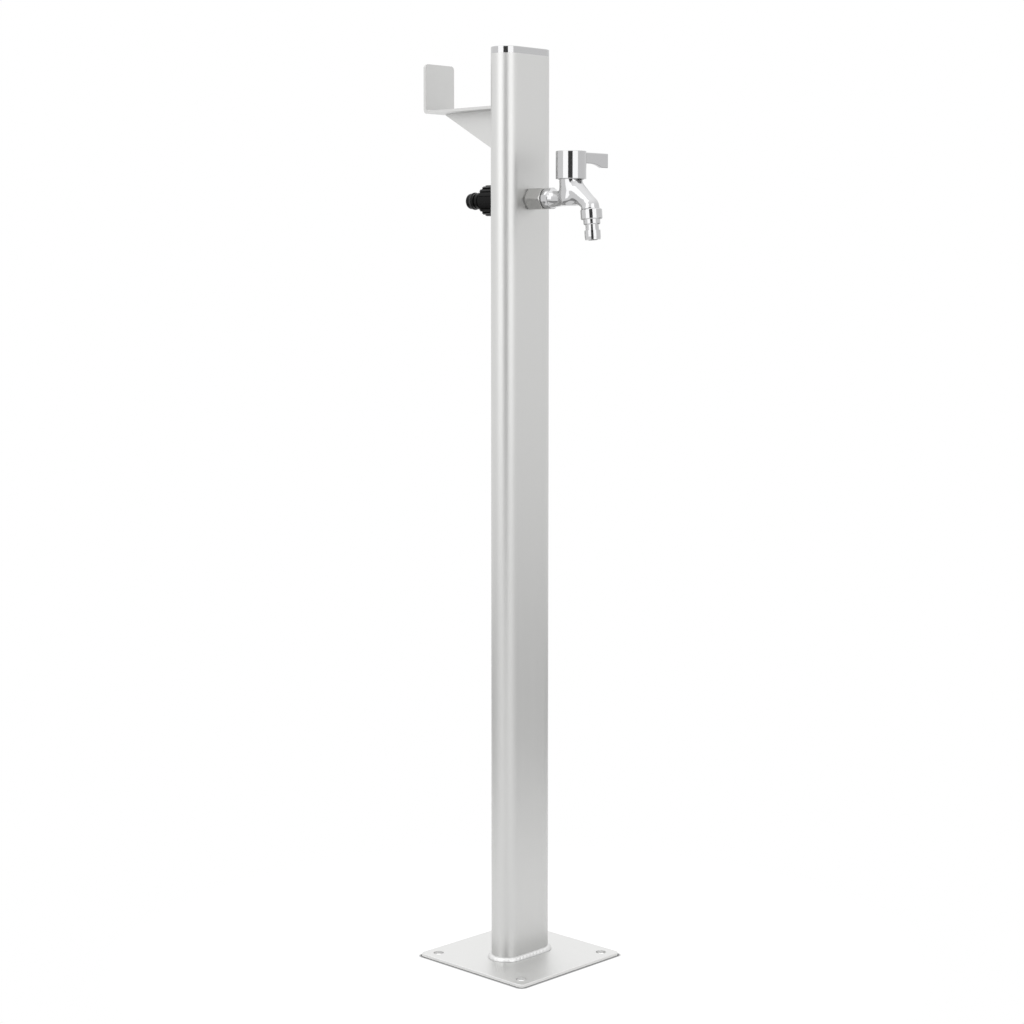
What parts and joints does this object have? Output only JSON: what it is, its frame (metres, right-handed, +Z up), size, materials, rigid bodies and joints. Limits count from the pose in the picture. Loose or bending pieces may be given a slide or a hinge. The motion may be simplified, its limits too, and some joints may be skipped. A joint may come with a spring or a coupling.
{
  "type": "garden standpipe",
  "caption": "Garden tap post: flat oval column on a square foot plate with a quarter-turn lever tap, barbed hose nozzle, rear quick connector and a hose holder.",
  "frame": {"origin": "middle of the foot plate's underside", "axes": "+Z up along the column; -Y the way the tap points; +Y the way the hose holder and the rear connector point; the lever at rest points to +X"},
  "size_m": [0.15, 0.2313, 0.95],
  "materials": {
    "satin_aluminium": "satin anodised",
    "chrome": "polished",
    "satin_nickel": "satin plated",
    "brass": "machined",
    "black_rubber": "matte",
    "black_plastic": "fine grained",
    "pale_plastic": "matte",
    "ceramic": "lapped",
    "plated_steel": "bright plated"
  },
  "bodies": {
    "standpipe": {"base_plate": "satin_aluminium", "column_tube": "satin_aluminium", "foot_weld": "satin_aluminium", "top_cap": "chrome", "hose_holder": "satin_aluminium", "holder_gusset": "satin_aluminium", "holder_screws": "plated_steel", "holder_nut_plate": "plated_steel", "wall_fitting": "satin_nickel", "front_washer": "black_rubber", "spacer_sleeve": "pale_plastic", "rear_washer": "satin_nickel", "rear_bush": "brass", "connector_washer": "black_rubber", "quick_connector": "black_plastic", "connector_oring": "black_rubber", "inlet_seal": "black_rubber", "tap_body": "chrome", "cartridge_housing": "brass", "cartridge_oring": "black_rubber", "seat_seal": "black_rubber", "fixed_disc": "ceramic", "nozzle_washer": "black_rubber", "hose_nozzle": "chrome"},
    "handle": {"moving_disc": "ceramic", "spindle": "brass", "spindle_oring": "black_rubber", "spindle_clip": "plated_steel", "lever_handle": "chrome", "handle_screw": "plated_steel", "handle_plug": "chrome"}
  },
  "joints": [
    {"name": "handle_turn", "type": "hinge", "parent": "standpipe", "child": "handle", "pos_m": [0, -0.071, 0.7971], "axis": [0, 0, 1], "range_deg": [-90, 0]}
  ]
}
